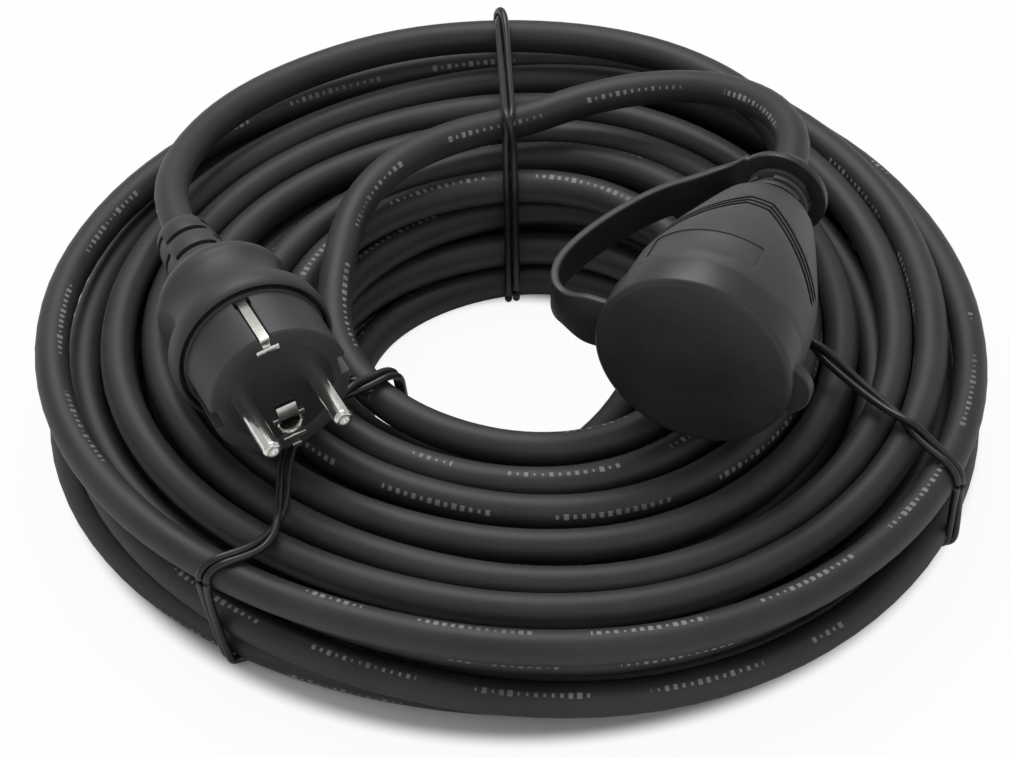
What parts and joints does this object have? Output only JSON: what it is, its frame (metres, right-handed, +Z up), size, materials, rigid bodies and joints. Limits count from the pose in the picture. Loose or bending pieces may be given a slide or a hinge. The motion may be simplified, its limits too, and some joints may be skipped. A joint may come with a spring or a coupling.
{
  "type": "extension cord",
  "caption": "Coiled rubber extension cord with a moulded earthed two-pin plug and a capped coupling socket, held by wire ties.",
  "frame": {"origin": "on the surface that the coil lies on, at the middle of the coil", "axes": "+Z up out of the coil, -Y towards the side where the plug pins and the socket mouth point, +X to the right of that view"},
  "size_m": [0.2455, 0.2489, 0.0915],
  "materials": {
    "cord_sheath": "matte extruded sheath",
    "tie_coat": "smooth plastic-coated wire",
    "plug_mould": "fine moulded grain",
    "bridge_mould": "smooth moulded",
    "pin_metal": "bright nickel plate",
    "clip_metal": "nickel-plated spring strip",
    "brass_parts": "plain brass",
    "core_live": "insulated core",
    "core_neutral": "insulated core",
    "core_earth": "insulated core",
    "socket_mould": "matte moulded rubber",
    "insert_mould": "smooth moulded",
    "cap_mould": "smooth moulded rubber"
  },
  "bodies": {
    "cord": {"cord_coil": "cord_sheath", "plug_lead": "cord_sheath", "socket_lead": "cord_sheath", "tie_far": "tie_coat", "tie_left": "tie_coat", "tie_right": "tie_coat", "plug_body": "plug_mould", "plug_bridge": "bridge_mould", "plug_pin_left": "pin_metal", "plug_pin_right": "pin_metal", "plug_earth_clip_upper": "clip_metal", "plug_earth_clip_lower": "clip_metal", "plug_earth_strap": "brass_parts", "plug_earth_sleeve": "clip_metal", "plug_wire_live": "core_live", "plug_wire_neutral": "core_neutral", "plug_wire_earth": "core_earth", "plug_crimp_live": "brass_parts", "plug_crimp_neutral": "brass_parts", "plug_crimp_earth": "brass_parts", "socket_body": "socket_mould", "socket_insert": "insert_mould", "socket_carrier": "insert_mould", "socket_contact_left": "brass_parts", "socket_contact_right": "brass_parts", "socket_earth_strap": "brass_parts", "socket_wire_live": "core_live", "socket_wire_neutral": "core_neutral", "socket_wire_earth": "core_earth", "socket_crimp_live": "brass_parts", "socket_crimp_neutral": "brass_parts", "socket_crimp_earth": "brass_parts", "tether_ring": "cap_mould"},
    "cap": {"socket_cap": "cap_mould", "cap_tether": "cap_mould"},
    "earth_spring_upper": {"socket_earth_spring_upper": "clip_metal"},
    "earth_spring_lower": {"socket_earth_spring_lower": "clip_metal"}
  },
  "joints": [
    {"name": "cap_pull", "type": "slide", "parent": "cord", "child": "cap", "axis": [-0.3551, -0.9348, 0], "range_m": [0, 0.04], "deforming": ["cap_tether"]},
    {"name": "earth_spring_upper_press", "type": "hinge", "parent": "cord", "child": "earth_spring_upper", "pos_m": [0.05168, -0.03193, 0.0843], "axis": [-0.9348, 0.3551, 0], "range_deg": [0, 4], "stiffness_Nm_per_rad": 0.5},
    {"name": "earth_spring_lower_press", "type": "hinge", "parent": "cord", "child": "earth_spring_lower", "pos_m": [0.05168, -0.03193, 0.0471], "axis": [0.9348, -0.3551, 0], "range_deg": [0, 4], "stiffness_Nm_per_rad": 0.5}
  ]
}
